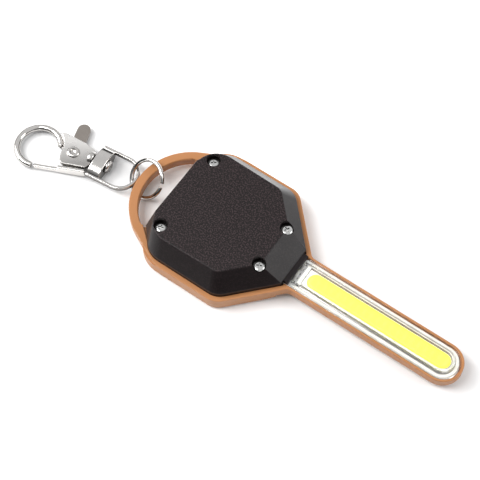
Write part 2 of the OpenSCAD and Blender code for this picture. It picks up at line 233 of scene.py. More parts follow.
def plateau_plan(inset=0.0):
    """The flat top of the cover."""
    side = 13.9 - inset
    return mirrored([
        corner(-4.1 + inset, 8.6 - inset * 0.4),
        (2.1, 8.2, 6 - inset, 168, 90, 10),
        slope_corner(side, PLATEAU_SLOPE_AT - inset, 3),
        corner(25.2 - inset, on_slope(PLATEAU_SLOPE_AT - inset, x=25.2 - inset)),
    ])


def strip_plan(left, middle, half, steps=28):
    """A strip with one square end and one round end."""
    return [corner(left, half), (middle, 0, half, 90, -90, steps), corner(left, -half)]


def disc_plan(x, y, r, steps=40):
    return [(x, y, r, 0, 360, steps)]


# ---------------------------------------------------------------- modelling by operators


def select_none():
    if bpy.context.mode != "OBJECT":
        bpy.ops.object.mode_set(mode="OBJECT")
    bpy.ops.object.select_all(action="DESELECT")


def activate(obj):
    select_none()
    obj.select_set(True)
    bpy.context.view_layer.objects.active = obj


def edit(obj):
    activate(obj)
    bpy.ops.object.mode_set(mode="EDIT")


def pick(kind, test):
    """Selects only the vertices, edges or faces that pass the test, and returns how many."""
    bpy.ops.mesh.select_mode(type=kind)
    bpy.ops.mesh.select_all(action="DESELECT")
    data = bpy.context.edit_object.data
    mesh = bmesh.from_edit_mesh(data)
    mesh.normal_update()
    found = [i for i in {"VERT": mesh.verts, "EDGE": mesh.edges, "FACE": mesh.faces}[kind] if test(i)]
    for item in found:
        item.select_set(True)
    mesh.select_flush_mode()
    bmesh.update_edit_mesh(data)
    return len(found)


def trace(name, arcs, z):
    """Draws a closed outline from one vertex by extruding and spinning it, and fills it."""
    first = ends(arcs[0])[0]
    select_none()
    bpy.ops.mesh.primitive_plane_add(size=MM, location=(first.x * MM, first.y * MM, z * MM))
    obj = bpy.context.object
    obj.name = obj.data.name = name
    bpy.ops.object.transform_apply(location=True, rotation=True, scale=True)
    bpy.ops.object.mode_set(mode="EDIT")
    bpy.ops.mesh.select_mode(type="VERT")
    bpy.ops.mesh.select_all(action="SELECT")
    bpy.ops.mesh.merge(type="CENTER")
    pen = first
    for arc in list(arcs) + [corner(first.x, first.y)]:
        start, stop = ends(arc)
        if (start - pen).length > 0.001:
            bpy.ops.mesh.extrude_vertices_move(TRANSFORM_OT_translate={"value": (start - pen) * MM})
        if arc[5]:
            bpy.ops.mesh.spin(steps=arc[5], angle=math.radians(arc[3] - arc[4]),
                              center=(arc[0] * MM, arc[1] * MM, z * MM), axis=(0, 0, 1))
        pen = stop
    bpy.ops.mesh.select_all(action="SELECT")
    bpy.ops.mesh.remove_doubles(threshold=0.0005 * MM)
    bpy.ops.mesh.edge_face_add()
    return obj


def rise(height):
    bpy.ops.mesh.extrude_region_move(TRANSFORM_OT_translate={"value": (0, 0, height * MM)})


def prism(name, arcs, low, high):
    """An outline extruded straight up, still in edit mode with its top face selected."""
    obj = trace(name, arcs, low)
    rise(high - low)
    bpy.ops.mesh.select_all(action="SELECT")
    bpy.ops.mesh.normals_make_consistent(inside=False)
    pick_cap(1)
    return obj


def pick_cap(sign):
    """Selects the highest or the lowest flat face."""
    mesh = bmesh.from_edit_mesh(bpy.context.edit_object.data)
    mesh.normal_update()
    caps = [f for f in mesh.faces if f.normal.z * sign > 0.99]
    end = max(f.calc_center_median().z * sign for f in caps)
    pick("FACE", lambda f: f.normal.z * sign > 0.99 and f.calc_center_median().z * sign > end - 0.00001)


def step(inset, height):
    """Draws the selected face in and lifts it along its normal."""
    bpy.ops.mesh.inset(thickness=inset * MM, depth=height * MM, use_even_offset=True, use_boundary=True)


def round_cap(sign, radius, steps=4):
    """Rounds the edge of a cap with a run of insets."""
    pick_cap(sign)
    for i in range(steps):
        a, b = (math.pi / 2 * k / steps for k in (i, i + 1))
        step(radius * (math.cos(a) - math.cos(b)), radius * (math.sin(b) - math.sin(a)))


def reshape(arcs, z):
    """Moves the selected cap's points, one by one, onto a second outline of as many points."""
    data = bpy.context.edit_object.data
    mesh = bmesh.from_edit_mesh(data)
    face = next(f for f in mesh.faces if f.select)
    loop = [v.index for v in face.verts]
    where = [v.co.copy() for v in face.verts]
    goal = [Vector((p.x, p.y, z)) * MM for p in points(arcs)]
    goal = [g for i, g in enumerate(goal) if (g - goal[i - 1]).length > 0.0005 * MM]
    # The face may start anywhere and run either way round
    runs = [goal[k:] + goal[:k] for k in range(len(goal))]
    runs += [list(reversed(run)) for run in runs]
    best = min(runs, key=lambda run: sum((a - b).length_squared for a, b in zip(run, where)))
    for index, old, new in zip(loop, where, best):
        mesh = bmesh.from_edit_mesh(data)
        mesh.verts.ensure_lookup_table()
        for v in mesh.verts:
            v.select_set(False)
        mesh.verts[index].select_set(True)
        mesh.select_flush_mode()
        bpy.ops.transform.translate(value=new - old)


def bevel_sharp(degrees, width, segments, test=lambda e: True):
    """Bevels the edges whose faces meet at more than an angle."""
    limit = math.radians(degrees)
    if pick("EDGE", lambda e: len(e.link_faces) == 2 and e.calc_face_angle(0) > limit and test(e)):
        bpy.ops.mesh.bevel(offset=width * MM, segments=segments, profile=0.5, affect="EDGES",
                           clamp_overlap=True)


def combine(obj, tool, operation="DIFFERENCE"):
    """Joins the tool to the piece, or cuts with it, and removes the tool."""
    activate(obj)
    bpy.ops.object.modifier_add(type="BOOLEAN")
    boolean = obj.modifiers[-1]
    boolean.operation = operation
    boolean.solver = "EXACT"
    boolean.object = tool
    bpy.ops.object.modifier_apply(modifier=boolean.name)
    bpy.data.objects.remove(tool)
    return obj


def drum(name, at, radius, depth, vertices=40, axis="Z"):
    """A round blank in object mode. Its axis runs along Z, X or Y."""
    select_none()
    turn = {"Z": (0, 0, 0), "X": (0, math.pi / 2, 0), "Y": (math.pi / 2, 0, 0)}[axis]
    bpy.ops.mesh.primitive_cylinder_add(vertices=vertices, radius=radius * MM, depth=depth * MM,
                                        location=Vector(at) * MM, rotation=turn)
    obj = bpy.context.object
    obj.name = obj.data.name = name
    bpy.ops.object.transform_apply(location=True, rotation=True, scale=True)
    return obj


def block(name, at, size):
    select_none()
    bpy.ops.mesh.primitive_cube_add(size=1, location=Vector(at) * MM, scale=Vector(size) * MM)
    obj = bpy.context.object
    obj.name = obj.data.name = name
    bpy.ops.object.transform_apply(location=True, rotation=True, scale=True)
    return obj


def turned(name, profile, at, steps=48):
    """A turned solid about the Z axis: a profile of radius and height pairs, spun from one vertex."""
    select_none()
    at = Vector(at)
    bpy.ops.mesh.primitive_plane_add(size=MM, location=(at + Vector((profile[0][0], 0, profile[0][1]))) * MM)
    obj = bpy.context.object
    obj.name = obj.data.name = name
    bpy.ops.object.transform_apply(location=True, rotation=True, scale=True)
    bpy.ops.object.mode_set(mode="EDIT")
    bpy.ops.mesh.select_mode(type="VERT")
    bpy.ops.mesh.select_all(action="SELECT")
    bpy.ops.mesh.merge(type="CENTER")
    for (r0, z0), (r1, z1) in zip(profile, profile[1:]):
        move = Vector((r1 - r0, 0, z1 - z0)) * MM
        bpy.ops.mesh.extrude_vertices_move(TRANSFORM_OT_translate={"value": move})
    bpy.ops.mesh.select_all(action="SELECT")
    bpy.ops.mesh.spin(steps=steps, angle=2 * math.pi, center=at * MM, axis=(0, 0, 1))
    bpy.ops.mesh.select_all(action="SELECT")
    bpy.ops.mesh.remove_doubles(threshold=0.001 * MM)
    bpy.ops.mesh.normals_make_consistent(inside=False)
    return obj


def place(obj, turn=0.0, at=(0, 0, 0), tilt=0.0):
    """Turns a piece about Z, after a tilt about Y, moves it, and settles its place into the mesh."""
    activate(obj)
    obj.matrix_world = (Matrix.Translation(Vector(at) * MM) @ Matrix.Rotation(math.radians(turn), 4, "Z")
                        @ Matrix.Rotation(math.radians(tilt), 4, "Y") @ obj.matrix_world)
    bpy.ops.object.transform_apply(location=True, rotation=True, scale=True)
    return obj


def finish_piece(obj, body, finish, nodes=(), angle=32.0, weighted=True):
    """Smooths a piece, gives it its finish and hangs it on its body."""
    edit(obj)
    bpy.ops.mesh.select_all(action="SELECT")
    bpy.ops.mesh.remove_doubles(threshold=0.0008 * MM)
    activate(obj)
    bpy.ops.object.transform_apply(location=True, rotation=True, scale=True)
    bpy.ops.object.shade_smooth_by_angle(angle=math.radians(angle))
    if weighted:
        bpy.ops.object.modifier_add(type="WEIGHTED_NORMAL")
        obj.modifiers[-1].keep_sharp = True
        obj.modifiers[-1].weight = 80
        bpy.ops.object.modifier_apply(modifier=obj.modifiers[-1].name)
    obj.data.materials.clear()
    obj.data.materials.append(finish)
    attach(obj, body)
    if nodes:
        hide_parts(*nodes)
    return obj


# ---------------------------------------------------------------- effects shared by several finishes


def new_group(name, takes, gives):
    """An empty effect with named inputs (name, default) and outputs (name)."""
    group = bpy.data.node_groups.new(name, "ShaderNodeTree")
    for label, default in takes:
        socket = group.interface.new_socket(name=label, in_out="INPUT", socket_type="NodeSocketFloat")
        socket.default_value = default
    for label in gives:
        group.interface.new_socket(name=label, in_out="OUTPUT", socket_type="NodeSocketFloat")
    start = group.nodes.new("NodeGroupInput")
    end = group.nodes.new("NodeGroupOutput")
    return group, start, end


def add(tree, kind, **values):
    """A node with its settings, and its input defaults given as in_Name or in_0."""
    node = tree.nodes.new(kind)
    for key, value in values.items():
        if key.startswith("in_"):
            slot = key[3:].replace("_", " ")
            node.inputs[int(slot) if slot.isdigit() else slot].default_value = value
        else:
            setattr(node, key, value)
    return node


def math_node(tree, operation, first, second=None, clamp=False):
    node = tree.nodes.new("ShaderNodeMath")
    node.operation = operation
    node.use_clamp = clamp
    for i, value in enumerate((first, second)):
        if isinstance(value, (int, float)):
            node.inputs[i].default_value = value
        elif value is not None:
            tree.links.new(value, node.inputs[i])
    return node.outputs[0]


def times(tree, first, second, clamp=False):
    return math_node(tree, "MULTIPLY", first, second, clamp)


def plus(tree, total, *terms):
    """The sum of two or more values."""
    for term in terms:
        total = math_node(tree, "ADD", total, term)
    return total


def ramp(tree, value, low, high):
    """A value stretched so that low becomes 0 and high becomes 1."""
    node = add(tree, "ShaderNodeMapRange", in_1=low, in_2=high)
    tree.links.new(value, node.inputs[0])
    return node.outputs[0]


def object_space(tree, stretch=(1, 1, 1), turn=(0, 0, 0)):
    """Object coordinates in millimetres."""
    where = add(tree, "ShaderNodeTexCoord")
    sized = add(tree, "ShaderNodeMapping")
    sized.inputs["Scale"].default_value = [1000 * s for s in stretch]
    sized.inputs["Rotation"].default_value = turn
    tree.links.new(where.outputs["Object"], sized.inputs["Vector"])
    return sized.outputs["Vector"]


def axes(tree, vector=None):
    """X, Y and Z of a vector, or else of the Object coordinates in millimetres."""
    parts = add(tree, "ShaderNodeSeparateXYZ")
    tree.links.new(vector or object_space(tree), parts.inputs[0])
    return parts.outputs


def past_rivet(tree, direction):
    """How far a place is past the hook's rivet in a direction, in millimetres."""
    along = add(tree, "ShaderNodeVectorMath", operation="DOT_PRODUCT")
    tree.links.new(object_space(tree), along.inputs[0])
    along.inputs[1].default_value = direction
    return plus(tree, along.outputs["Value"], -RIVET_AT.dot(Vector(direction)))


def noise(tree, vector, scale, detail=2.0, rough=0.5):
    node = add(tree, "ShaderNodeTexNoise", in_Scale=scale, in_Detail=detail, in_Roughness=rough)
    tree.links.new(vector, node.inputs["Vector"])
    return node.outputs["Fac"]


def scaled_noise(group, vector, socket, detail=2.0):
    out = noise(group, vector, 1, detail)
    group.links.new(socket, out.node.inputs["Scale"])
    return out


def spark_grain():
    """Spark-eroded texture of a moulded face: a fine height, light specks, and slow unevenness."""
    group, start, end = new_group("Spark grain", [("Grains per mm", 3.0), ("Speck cover", 0.5)],
                                  ["Height", "Specks", "Unevenness"])
    space = object_space(group)
    fine = scaled_noise(group, space, start.outputs["Grains per mm"], 3)
    cells = add(group, "ShaderNodeTexVoronoi", feature="F1")
    group.links.new(space, cells.inputs["Vector"])
    group.links.new(start.outputs["Grains per mm"], cells.inputs["Scale"])
    bumps = math_node(group, "SUBTRACT", 1.0, cells.outputs["Distance"])
    group.links.new(plus(group, times(group, fine, 0.5), times(group, bumps, 0.5)), end.inputs["Height"])
    specks = scaled_noise(group, space, times(group, start.outputs["Grains per mm"], 1.3), 1)
    threshold = plus(group, 0.8, times(group, start.outputs["Speck cover"], -0.3))
    over = math_node(group, "SUBTRACT", specks, threshold)
    group.links.new(times(group, over, 9.0, clamp=True), end.inputs["Specks"])
    group.links.new(noise(group, space, 0.09, 3), end.inputs["Unevenness"])
    return group


def edge_wear():
    """A mask that is 1 on edges rounded by handling, broken up by noise."""
    group, start, end = new_group("Edge wear", [("Reach mm", 0.3), ("Break up", 0.5)], ["Edge"])
    rounded = add(group, "ShaderNodeBevel", samples=4)
    group.links.new(times(group, start.outputs["Reach mm"], MM), rounded.inputs["Radius"])
    flat = add(group, "ShaderNodeNewGeometry")
    turn = add(group, "ShaderNodeVectorMath", operation="DOT_PRODUCT")
    group.links.new(rounded.outputs[0], turn.inputs[0])
    group.links.new(flat.outputs["Normal"], turn.inputs[1])
    edge = ramp(group, turn.outputs["Value"], 0.995, 0.93)
    broken = ramp(group, noise(group, object_space(group), 1.4, 4), 0.35, 0.65)
    lost = times(group, start.outputs["Break up"], math_node(group, "SUBTRACT", 1.0, broken))
    kept = math_node(group, "SUBTRACT", 1.0, lost)
    group.links.new(times(group, edge, kept, clamp=True), end.inputs["Edge"])
    return group


def handling():
    """Smudges and hairline scratches left by handling."""
    group, start, end = new_group("Handling", [("Smudges per mm", 0.25), ("Scratches per mm", 0.6)],
                                  ["Smudge", "Scratch"])
    space = object_space(group)
    group.links.new(ramp(group, scaled_noise(group, space, start.outputs["Smudges per mm"], 4), 0.3, 0.7),
                    end.inputs["Smudge"])
    lines = []
    for turn in ((0.2, 0, 0.5), (0, 0.3, -0.8)):
        long = object_space(group, (0.12, 1.9, 1.9), turn)
        strokes = scaled_noise(group, long, start.outputs["Scratches per mm"], 5)
        near = math_node(group, "ABSOLUTE", math_node(group, "SUBTRACT", strokes, 0.5))
        lines.append(ramp(group, near, 0.006, 0.0))
    group.links.new(math_node(group, "MAXIMUM", *lines), end.inputs["Scratch"])
    return group


def painted_flank_reflection():
    """Painted reflection: a mask of the faces that look sideways or down on the piece itself, where the
    plating is painted dark in place of the dark surroundings it would reflect.
    """
    group, start, end = new_group("Painted flank reflection", [("Depth", 0.8)], ["Tarnish"])
    parts = axes(group, add(group, "ShaderNodeTexCoord").outputs["Normal"])
    flank = ramp(group, parts["Z"], 0.4, 0.05)
    group.links.new(times(group, flank, start.outputs["Depth"]), end.inputs["Tarnish"])
    return group


EFFECTS = {}


def effect(tree, name, **values):
    """Places a shared effect in a material, with this material's own values."""
    makers = {"Spark grain": spark_grain, "Edge wear": edge_wear, "Handling": handling,
              "Painted flank reflection": painted_flank_reflection}
    if name not in EFFECTS:
        EFFECTS[name] = makers[name]()
    node = tree.nodes.new("ShaderNodeGroup")
    node.node_tree = EFFECTS[name]
    for key, value in values.items():
        node.inputs[key.replace("_", " ")].default_value = value
    return node.outputs


def blend_colour(tree, factor, low, high):
    """One colour turning into another by a factor. Either may be a colour or a socket."""
    mix = add(tree, "ShaderNodeMix", data_type="RGBA")
    if isinstance(factor, (int, float)):
        mix.inputs[0].default_value = factor
    else:
        tree.links.new(factor, mix.inputs[0])
    for socket, value in ((mix.inputs[6], low), (mix.inputs[7], high)):
        if hasattr(value, "is_linked"):
            tree.links.new(value, socket)
        else:
            socket.default_value = (*value[:3], 1)
    return mix.outputs[2]


def bump(tree, height, strength, depth_mm):
    node = add(tree, "ShaderNodeBump", in_Strength=strength, in_Distance=depth_mm * MM)
    tree.links.new(height, node.inputs["Height"])
    return node.outputs["Normal"]


def blank(name, **values):
    """A material with its shader's plain values set, cleared of everything else."""
    finish = bpy.data.materials.new(name)
    finish.use_nodes = True
    tree = finish.node_tree
    shader = tree.nodes["Principled BSDF"]
    for key, value in values.items():
        shader.inputs[key.replace("_", " ")].default_value = value
    return finish, tree, shader


def drive(shader, **sockets):
    """Links colours and masks that change over the surface to the shader's inputs."""
    for key, value in sockets.items():
        shader.id_data.links.new(value, shader.inputs[key.replace("_", " ")])


def mix_shaders(tree, factor, first, second, output):
    """One shader by another, as light of one kind sees them."""
    mix = add(tree, "ShaderNodeMixShader")
    for source, target in ((factor, mix.inputs[0]), (first.outputs[0], mix.inputs[1]),
                           (second.outputs[0], mix.inputs[2]), (mix.outputs[0], output.inputs["Surface"])):
        tree.links.new(source, target)


def shade(value, by):
    return [min(1.0, c * by) for c in value]


def moulded(name, tint, grains, roughness, depth, specks=0.5, lighter=1.5, **values):
    """Moulded plastic: grain, specks, slightly worn edges and smudges."""
    finish, tree, shader = blank(name, **values)
    grain = effect(tree, "Spark grain", Grains_per_mm=grains, Speck_cover=specks)
    worn = effect(tree, "Edge wear", Reach_mm=0.25, Break_up=0.5)
    touch = effect(tree, "Handling", Smudges_per_mm=0.3, Scratches_per_mm=0.4)
    base = blend_colour(tree, grain["Unevenness"], shade(tint, 0.92), shade(tint, 1.08))
    base = blend_colour(tree, times(tree, grain["Specks"], 0.5), base, shade(tint, lighter))
    base = blend_colour(tree, times(tree, worn["Edge"], 0.25), base, shade(tint, lighter))
    rough = plus(tree, roughness - 0.05, times(tree, touch["Smudge"], 0.1), times(tree, worn["Edge"], -0.06))
    drive(shader, Base_Color=base, Roughness=rough, Normal=bump(tree, grain["Height"], 0.6, depth))
    return finish


def spark_eroded(name, tint, top_mm):
    """Black moulding whose flat top is spark-eroded and speckled, and whose sides are smoother."""
    finish, tree, shader = blank(name, Specular_IOR_Level=0.25)
    flat = ramp(tree, axes(tree)["Z"], top_mm - 0.25, top_mm - 0.02)
    grain = effect(tree, "Spark grain", Grains_per_mm=2.2, Speck_cover=1.0)
    worn = effect(tree, "Edge wear", Reach_mm=0.2, Break_up=0.6)
    touch = effect(tree, "Handling", Smudges_per_mm=0.2, Scratches_per_mm=0.4)
    base = blend_colour(tree, grain["Unevenness"], shade(tint, 0.85), shade(tint, 1.15))
    speckled = times(tree, grain["Specks"], plus(tree, 0.12, times(tree, flat, 0.5)))
    base = blend_colour(tree, speckled, base, shade(tint, 8))
    base = blend_colour(tree, times(tree, worn["Edge"], 0.12), base, shade(tint, 4))
    rough = plus(tree, 0.31, times(tree, flat, 0.13), times(tree, touch["Smudge"], 0.06))
    height = times(tree, grain["Height"], plus(tree, 0.2, times(tree, flat, 0.8)))
    drive(shader, Base_Color=base, Roughness=rough, Normal=bump(tree, height, 0.6, 0.04))
    return finish


def painted_dark_flanks(tree, base, depth=0.8):
    """Plating whose sides and underside are painted dark, a painted reflection of dark surroundings."""
    flank_shade = effect(tree, "Painted flank reflection", Depth=depth)
    # Painted reflection: the flanks are blended towards near black in the base colour.
    return blend_colour(tree, flank_shade["Tarnish"], base, (0.035, 0.028, 0.024))


def plated(name, tint, roughness, scratches=0.5):
    """Plated or bare metal: uneven polish, hairline scratches, and sides and underside painted dark as
    painted reflection.
    """
    finish, tree, shader = blank(name, Metallic=1.0)
    touch = effect(tree, "Handling", Smudges_per_mm=0.5, Scratches_per_mm=0.9)
    worn = effect(tree, "Edge wear", Reach_mm=0.12, Break_up=0.4)
    base = blend_colour(tree, touch["Smudge"], shade(tint, 0.95), tint)
    base = blend_colour(tree, worn["Edge"], base, shade(tint, 1.06))
    rough = plus(tree, roughness, times(tree, touch["Smudge"], 0.06),
                 times(tree, touch["Scratch"], 0.12 * scratches))
    unscratched = math_node(tree, "SUBTRACT", 1.0, touch["Scratch"])
    # The base colour carries painted dark flanks, a painted reflection.
    drive(shader, Base_Color=painted_dark_flanks(tree, base), Roughness=rough,
          Normal=bump(tree, unscratched, 0.25 * scratches, 0.01))
    return finish


def brush_lines(tree, stretch, turn, scale, detail, rough):
    """Lines left by a brush, turned about Z by an angle in degrees."""
    return noise(tree, object_space(tree, stretch, (0, 0, math.radians(turn))), scale, detail, rough)


def hook_plating(name, tint):
    """Bright wire, and a plate brushed by hand, painted near white towards its far side and darker towards
    its near side and its rivet as painted highlight and shade; sides and underside painted dark as painted
    reflection.
    """
    finish, tree, shader = blank(name, Metallic=1.0)
    parts = axes(tree)
    on_plate = times(tree, ramp(tree, parts["Z"], PLATE_TOP - 0.1, PLATE_TOP - 0.01),
                     ramp(tree, parts["X"], -27.9, -28.1))
    lines = brush_lines(tree, (0.5, 5, 5), HOOK_TURN, 1.3, 6, 0.7)
    # Painted highlight and shade: the plate runs from near white on its far side to dark towards its near
    # side and the rivet.
    darker = ramp(tree, plus(tree, past_rivet(tree, (0.55, -0.83, 0)), times(tree, lines, 2.5)), -2.5, 4.5)
    plate = blend_colour(tree, darker, (0.98, 0.96, 0.93), shade(tint, 0.62))
    base = blend_colour(tree, on_plate, tint, plate)
    touch = effect(tree, "Handling", Smudges_per_mm=0.5, Scratches_per_mm=0.9)
    rough = plus(tree, 0.08, times(tree, on_plate, 0.17), times(tree, touch["Smudge"], 0.06))
    # Sides and underside painted dark as well: painted reflection.
    drive(shader, Base_Color=painted_dark_flanks(tree, base), Roughness=rough,
          Normal=bump(tree, times(tree, lines, on_plate), 0.3, 0.015))
    return finish


def pressed_lever(name, plating, matt):
    """Bright plated bar and cheek, whose thumb tab is worn down to matt grey metal."""
    finish, tree, shader = blank(name, Metallic=1.0)
    turn = math.radians(HOOK_TURN)
    tab = ramp(tree, past_rivet(tree, (-math.sin(turn), math.cos(turn), 0)), -1.5, 0.5)
    lines = brush_lines(tree, (0.25, 9, 9), HOOK_TURN + 90, 1.2, 5, 0.65)
    touch = effect(tree, "Handling", Smudges_per_mm=0.4, Scratches_per_mm=0.7)
    grey = blend_colour(tree, lines, shade(matt, 0.82), shade(matt, 1.15))
    rough = plus(tree, 0.09, times(tree, tab, 0.26), times(tree, touch["Smudge"], 0.06))
    drive(shader, Base_Color=blend_colour(tree, tab, plating, grey), Roughness=rough,
          Normal=bump(tree, times(tree, lines, tab), 0.35, 0.012))
    return finish


def brushed(name, tint, roughness):
    """Metal with the lines of a brush across it."""
    finish, tree, shader = blank(name, Metallic=1.0)
    lines = brush_lines(tree, (0.25, 9, 9), 0, 1.2, 5, 0.65)
    touch = effect(tree, "Handling", Smudges_per_mm=0.4, Scratches_per_mm=0.7)
    rough = plus(tree, roughness, times(tree, lines, 0.14), times(tree, touch["Smudge"], 0.06))
    drive(shader, Base_Color=blend_colour(tree, lines, shade(tint, 0.82), shade(tint, 1.12)), Roughness=rough,
          Normal=bump(tree, lines, 0.35, 0.012))
    return finish


def tinned(name, tint, pitch_mm):
    """Tinned copper with dark flux round a row of holes along Y."""
    finish, tree, shader = blank(name, Metallic=0.7)
    space = object_space(tree)
    row = math_node(tree, "COSINE", times(tree, axes(tree, space)["Y"], 2 * math.pi / pitch_mm))
    blotch = noise(tree, space, 1.6, 4, 0.7)
    flux = ramp(tree, plus(tree, row, times(tree, blotch, 0.9)), 0.95, 1.25)
    drive(shader, Base_Color=blend_colour(tree, flux, tint, (0.03, 0.026, 0.022)),
          Roughness=plus(tree, 0.25, times(tree, blotch, 0.2)), Normal=bump(tree, blotch, 0.5, 0.05))
    return finish


def clear_plastic():
    """Clear moulded lens, with faint moulding waves, and dark lines painted along its window and its flange
    in place of the dark surroundings its walls reflect.
    """
    finish, tree, shader = blank("Clear lens", Metallic=0.0, Transmission_Weight=1.0, IOR=1.47)
    touch = effect(tree, "Handling", Smudges_per_mm=0.35, Scratches_per_mm=0.5)
    waves = noise(tree, object_space(tree, (0.35, 1, 1)), 0.6, 1)
    base = blend_colour(tree, waves, (0.97, 0.98, 0.98), (1, 1, 1))
    # Distance from the lens's middle line, and round its end from the middle of the arc
    parts = axes(tree)
    past_arc = math_node(tree, "MAXIMUM", plus(tree, parts["X"], -LENS_ARC_X), 0.0)
    squares = plus(tree, times(tree, past_arc, past_arc), times(tree, parts["Y"], parts["Y"]))
    out = math_node(tree, "SQRT", squares)
    # Painted reflection: dark lines on the window's and the flange's edges stand in for reflected dark
    # surroundings.
    for middle, half, dark in ((3.2, 0.14, 0.82), (4.2, 0.06, 0.6)):
        line = times(tree, ramp(tree, out, middle - half - 0.05, middle - half),
                     ramp(tree, out, middle + half + 0.05, middle + half))
        base = blend_colour(tree, times(tree, line, dark), base, (0.12, 0.11, 0.1))
    drive(shader, Base_Color=base, Roughness=plus(tree, 0.015, times(tree, touch["Smudge"], 0.03)),
          Normal=bump(tree, waves, 0.04, 0.02))
    # The lamps light the board through the lens
    path = add(tree, "ShaderNodeLightPath")
    through = add(tree, "ShaderNodeBsdfTransparent")
    mix_shaders(tree, path.outputs["Is Shadow Ray"], shader, through, tree.nodes["Material Output"])
    return finish


def phosphor(tint):
    """Silicone full of phosphor, a little brighter over each chip in the row below, with a painted glow in
    its own colour.
    """
    # Painted glow: a little emission in the strip's own colour lifts it above what the lamps alone give.
    finish, tree, shader = blank("Phosphor silicone", Subsurface_Weight=0.15, Emission_Strength=0.22,
                                 Subsurface_Radius=(0.001, 0.001, 0.0002))
    grain = effect(tree, "Spark grain", Grains_per_mm=4.0, Speck_cover=0.4)
    parts = axes(tree)
    along = math_node(tree, "SINE", times(tree, parts["X"], 2 * math.pi / CHIP_PITCH))
    across = ramp(tree, math_node(tree, "ABSOLUTE", parts["Y"]), 1.6, 0.2)
    over_chip = times(tree, ramp(tree, along, 0.0, 1.0), across)
    base = blend_colour(tree, grain["Unevenness"], shade(tint, 0.96), tint)
    base = blend_colour(tree, times(tree, over_chip, 0.25), base, (1.0, 1.0, 0.16))
    drive(shader, Base_Color=base, Emission_Color=base,
          Roughness=plus(tree, 0.42, times(tree, grain["Specks"], 0.15)),
          Normal=bump(tree, grain["Height"], 0.3, 0.03))
    return finish


def solder_mask(name, tint, copper=0.85):
    """Board lacquer, with faint tracks showing through it."""
    finish, tree, shader = blank(name)
    track = math_node(tree, "SINE", times(tree, axes(tree)["Y"], 4.2))
    grain = effect(tree, "Spark grain", Grains_per_mm=3.0, Speck_cover=0.2)
    base = blend_colour(tree, ramp(tree, track, 0.6, 0.7), tint, shade(tint, copper))
    drive(shader, Base_Color=blend_colour(tree, grain["Unevenness"], shade(tint, 0.97), base),
          Roughness=plus(tree, 0.3, times(tree, grain["Unevenness"], 0.15)),
          Normal=bump(tree, ramp(tree, track, 0.55, 0.75), 0.2, 0.02))
    return finish


def rubber(name, tint):
    """Dull soft moulding."""
    finish, tree, shader = blank(name)
    grain = effect(tree, "Spark grain", Grains_per_mm=5.0, Speck_cover=0.3)
    touch = effect(tree, "Handling", Smudges_per_mm=0.5, Scratches_per_mm=0.3)
    drive(shader, Base_Color=blend_colour(tree, touch["Smudge"], shade(tint, 0.85), shade(tint, 1.15)),
          Roughness=plus(tree, 0.55, times(tree, grain["Unevenness"], 0.2)),
          Normal=bump(tree, grain["Height"], 0.5, 0.04))
    return finish


# ---------------------------------------------------------------- pieces


class FLASHLIGHT_OT_case(Operator):
    """Models the moulded case: loop, head and blade"""

    bl_idname = "flashlight.case"
    bl_label = "Case"

    def on_opening(self, at, level):
        """Whether a place, in millimetres, is on the opening's rim by the loop's bar."""
        off_arc = abs((at.xy - LOOP_OPENING_AT).length - LOOP_OPENING_R)
        return off_arc < 0.03 and at.x < -6.5 and abs(at.z - level) < 0.002

    def execute(self, context):
        s = context.scene.flashlight_case
        cover = context.scene.flashlight_cover
        rim, plate, edge, foot, crown = (v / MM for v in (s.rim, s.plate, s.edge, s.foot, s.crown))
        case = prism("case", case_plan(), rim - plate + edge, rim - crown)
        round_cap(1, crown, 3)
        round_cap(-1, edge, 5)
        tub = prism("case_tub", head_plan(0.05, 0.05, HEAD_LEFT, 31), foot, rim - 0.35)
        round_cap(-1, foot, 7)
        ramp = block("ramp", (29.4, 0, -0.2), (5.4, 26, 3.6))
        edit(ramp)
        pick("EDGE", lambda e: all(v.co.x < 27 * MM and v.co.z > 1.5 * MM for v in e.verts))
        bpy.ops.transform.translate(value=(0, 0, -1.6 * MM))
        combine(tub, ramp)
        combine(case, tub, "UNION")
        # Crescent between the loop's bar and the head, its rims rounded
        opening = prism("opening", [
            (-6.4, 10.6, 0.8, 0, 90, 4), (*LOOP_OPENING_AT, LOOP_OPENING_R, 122.5, 237.5, 40),
            (-6.4, -10.6, 0.8, -90, 0, 4)], rim - plate - 2, rim + 1)
        combine(case, opening)
        # Seat of the cover, the hollow under it, and the trough of the lamp
        combine(case, prism("seat", head_plan(1.25, 1.15, HEAD_LEFT - 1, 31.6), rim - 1, rim + 1))
        combine(case, prism("hollow", head_plan(2.5, 2.5, HEAD_LEFT + 1.6, 28.5), 1.2, rim - 0.9))
        trough = BOARD_LO.z - 0.02
        combine(case, prism("trough", strip_plan(27, BLADE_END, LENS_HI.y + 0.1), trough, rim + 1))
        combine(case, prism("button_hole", disc_plan(STACK_X, 0, 5.15, 64), -1, 3))
        # Screw posts inside
        posts = []
        for i, (x, y) in enumerate(SCREWS):
            post = prism(f"post_{i}", disc_plan(x, y, 2.2, 32), 1.1, 6)
            bevel_sharp(60, 0.15, 2)
            select_none()
            posts.append(combine(post, drum("bore", (x, y, 5), 0.95, 6.4, 24)))
        for x in (3.2, 19.6):
            for y in (-8, 8):
                posts.append(drum("rest", (x, y, 2.54), 0.9, 3.08, 24))
        for post in posts:
            combine(case, post, "UNION")
        edit(case)
        # The loop's inner rims
        for level, width in ((rim, 0.25), (rim - plate, 0.75)):
            pick("EDGE", lambda e: all(self.on_opening(v.co / MM, level) for v in e.verts))
            bpy.ops.mesh.bevel(offset=width * MM, segments=4, profile=0.3, affect="EDGES", clamp_overlap=True)
        finish = moulded("Case plastic", s.tint, 1.6, 0.42, 0.012, specks=0.25, lighter=1.12,
                         Specular_IOR_Level=0.5, Coat_Weight=0.06)
        finish_piece(case, "flashlight", finish, ["case_shell"], angle=30)
        return {"FINISHED"}


